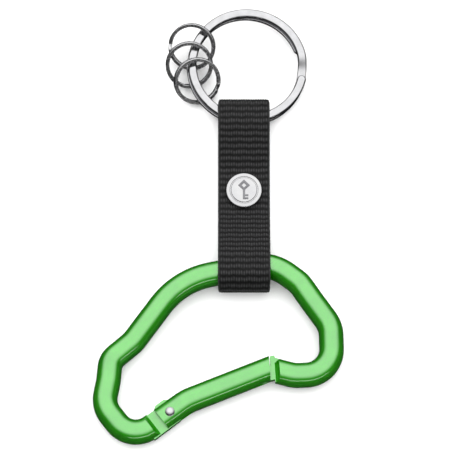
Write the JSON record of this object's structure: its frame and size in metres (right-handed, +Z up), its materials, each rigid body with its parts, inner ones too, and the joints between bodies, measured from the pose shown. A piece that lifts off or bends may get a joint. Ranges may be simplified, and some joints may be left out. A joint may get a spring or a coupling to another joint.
{
  "type": "key organiser",
  "caption": "Wavy bent-bar snap clip with a sprung gate, joined by a folded webbing strap with a round badge to a split ring that carries smaller split rings.",
  "frame": {"origin": "on the surface the object lies on, under the middle of its footprint", "axes": "+X across the strap, +Y from the clip towards the split ring, +Z up from the surface the object lies on"},
  "size_m": [0.0712, 0.1311, 0.011],
  "materials": {
    "clip_green": "green anodised, satin",
    "steel": "polished nickel plate",
    "small_ring_steel": "polished, slightly darker",
    "spring_steel": "plain",
    "badge_silver": "satin silver",
    "webbing": "ribbed nylon weave"
  },
  "bodies": {
    "carabiner": {"carabiner_body": "clip_green"},
    "gate": {"carabiner_gate": "clip_green", "gate_hinge_pin": "steel", "gate_spring": "spring_steel"},
    "plunger": {"gate_plunger": "spring_steel"},
    "lower_loop": {"webbing_lower_loop": "webbing"},
    "badge_panel": {"webbing_back_panel": "webbing", "webbing_overlap_end": "webbing", "webbing_front_panel": "webbing", "badge": "badge_silver", "badge_rivet": "spring_steel"},
    "upper_loop": {"webbing_upper_loop": "webbing"},
    "split_ring": {"split_ring": "steel"},
    "small_ring_1": {"small_ring_1": "small_ring_steel"},
    "small_ring_2": {"small_ring_2": "small_ring_steel"},
    "small_ring_3": {"small_ring_3": "small_ring_steel"}
  },
  "joints": [
    {"name": "gate_hinge", "type": "hinge", "parent": "carabiner", "child": "gate", "pos_m": [-0.01372, -0.05679, 0.00373], "axis": [0, -0.0422, 0.9991], "range_deg": [0, 30], "stiffness_Nm_per_rad": 0.02, "springref_deg": -20.05},
    {"name": "plunger_slide", "type": "slide", "parent": "gate", "child": "plunger", "axis": [0.8829, 0.4691, 0.0198], "range_m": [0, 0.0004], "deforming": ["gate_spring"]},
    {"name": "strap_swing", "type": "hinge", "parent": "carabiner", "child": "lower_loop", "pos_m": [0.00728, -0.01438, 0.00552], "axis": [0.9947, 0.1027, 0.0043], "range_deg": [-100, 100]},
    {"name": "lower_flex", "type": "hinge", "parent": "lower_loop", "child": "badge_panel", "pos_m": [0.00728, 0.00062, 0.0013], "axis": [1, 0, 0], "range_deg": [-45, 45], "stiffness_Nm_per_rad": 0.003},
    {"name": "upper_flex", "type": "hinge", "parent": "badge_panel", "child": "upper_loop", "pos_m": [0.00728, 0.01882, 0.0013], "axis": [1, 0, 0], "range_deg": [-45, 45], "stiffness_Nm_per_rad": 0.003},
    {"name": "ring_turn", "type": "hinge", "parent": "upper_loop", "child": "split_ring", "pos_m": [0.0084, 0.04807, 0.0041], "axis": [0.0603, -0.0359, 0.9975], "range_deg": [-185, 5]},
    {"name": "small_ring_1_flip", "type": "hinge", "parent": "split_ring", "child": "small_ring_1", "pos_m": [-0.00795, 0.05391, 0.0053], "axis": [0.9394, -0.3359, -0.0688], "range_deg": [0, 60]},
    {"name": "small_ring_2_flip", "type": "hinge", "parent": "split_ring", "child": "small_ring_2", "pos_m": [-0.00867, 0.04826, 0.00514], "axis": [0.9981, -0.0111, -0.0607], "range_deg": [0, 60]},
    {"name": "small_ring_3_flip", "type": "hinge", "parent": "split_ring", "child": "small_ring_3", "pos_m": [-0.00635, 0.04337, 0.00482], "axis": [0.9518, 0.3032, -0.0466], "range_deg": [0, 60]}
  ],
  "couplings": [
    {"joint": "plunger_slide", "follows": "gate_hinge", "m_per_rad": 0.00076394},
    {"joint": "small_ring_1_flip", "follows": "small_ring_3_flip", "ratio": 1},
    {"joint": "small_ring_2_flip", "follows": "small_ring_3_flip", "ratio": 1}
  ]
}
